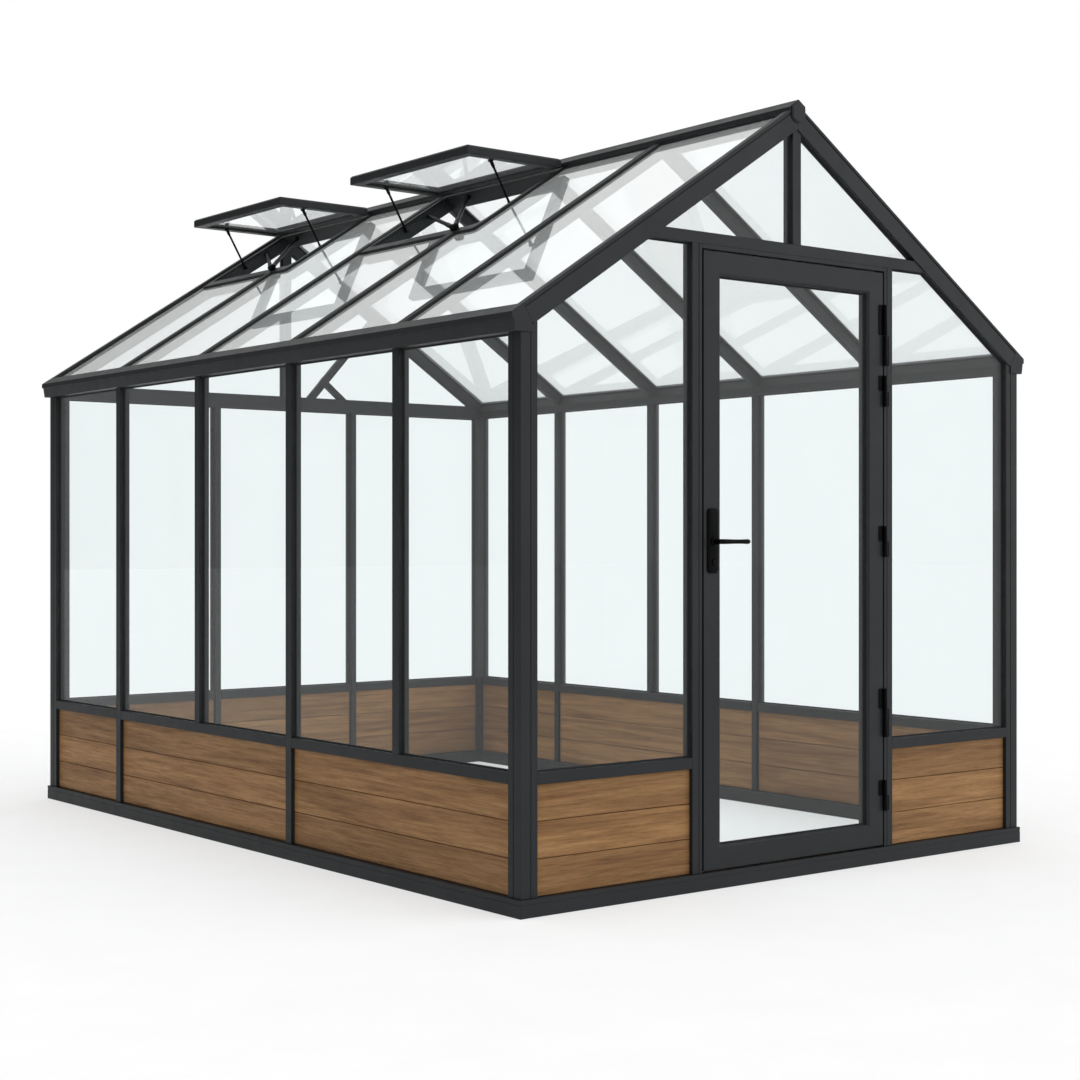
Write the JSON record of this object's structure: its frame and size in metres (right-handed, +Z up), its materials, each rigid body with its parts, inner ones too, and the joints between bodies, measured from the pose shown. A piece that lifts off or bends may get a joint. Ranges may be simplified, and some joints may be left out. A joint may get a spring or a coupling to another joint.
{
  "type": "glass greenhouse",
  "caption": "Gabled glass greenhouse with a dark metal frame, low boarded walls, a hinged glass door in the front gable and propped roof vents.",
  "frame": {"origin": "on the ground, in the middle of the base", "axes": "+X to the right across the front gable, +Y from the door to the back along the ridge, +Z up"},
  "size_m": [2.356, 3.344, 2.5413],
  "materials": {
    "grey_frame": "fine satin powder coat",
    "clear_glass": "clear, faint green tint",
    "stained_wood": "oiled, open grain",
    "black_fittings": "satin black"
  },
  "bodies": {
    "greenhouse": {"base_rail_front": "grey_frame", "base_rail_back": "grey_frame", "base_rail_left": "grey_frame", "base_rail_right": "grey_frame", "corner_posts": "grey_frame", "left_wall_posts": "grey_frame", "right_wall_posts": "grey_frame", "back_wall_posts": "grey_frame", "door_jambs": "grey_frame", "door_head": "grey_frame", "front_header": "grey_frame", "back_tie_rail": "grey_frame", "back_brace": "grey_frame", "king_posts": "grey_frame", "left_sill_rails": "grey_frame", "right_sill_rails": "grey_frame", "gable_sill_rails": "grey_frame", "left_wall_boards": "stained_wood", "right_wall_boards": "stained_wood", "gable_wall_boards": "stained_wood", "eave_rails": "grey_frame", "gable_rafters": "grey_frame", "left_roof_bars": "grey_frame", "right_roof_bars": "grey_frame", "ridge_beam": "grey_frame", "ridge_cap": "grey_frame", "ridge_end_caps": "grey_frame", "left_wall_glass": "clear_glass", "right_wall_glass": "clear_glass", "front_wall_glass": "clear_glass", "back_wall_glass": "clear_glass", "left_roof_glass": "clear_glass", "right_roof_glass": "clear_glass", "vent_frames": "grey_frame", "vent_sashes": "grey_frame", "vent_glass": "clear_glass", "vent_stays": "black_fittings", "vent_openers": "black_fittings", "hinge_pins": "black_fittings"},
    "door": {"door_stiles": "grey_frame", "door_rails": "grey_frame", "door_glass": "clear_glass", "hinge_knuckles": "black_fittings", "handle_plates": "black_fittings"},
    "handle": {"door_handle": "black_fittings"}
  },
  "joints": [
    {"name": "door_hinge", "type": "hinge", "parent": "greenhouse", "child": "door", "pos_m": [0.4205, -1.65, 1], "axis": [0, 0, 1], "range_deg": [0, 110]},
    {"name": "handle_turn", "type": "hinge", "parent": "door", "child": "handle", "pos_m": [-0.3795, -1.62, 1.095], "axis": [0, 1, 0], "range_deg": [0, 40], "stiffness_Nm_per_rad": 1.2}
  ]
}
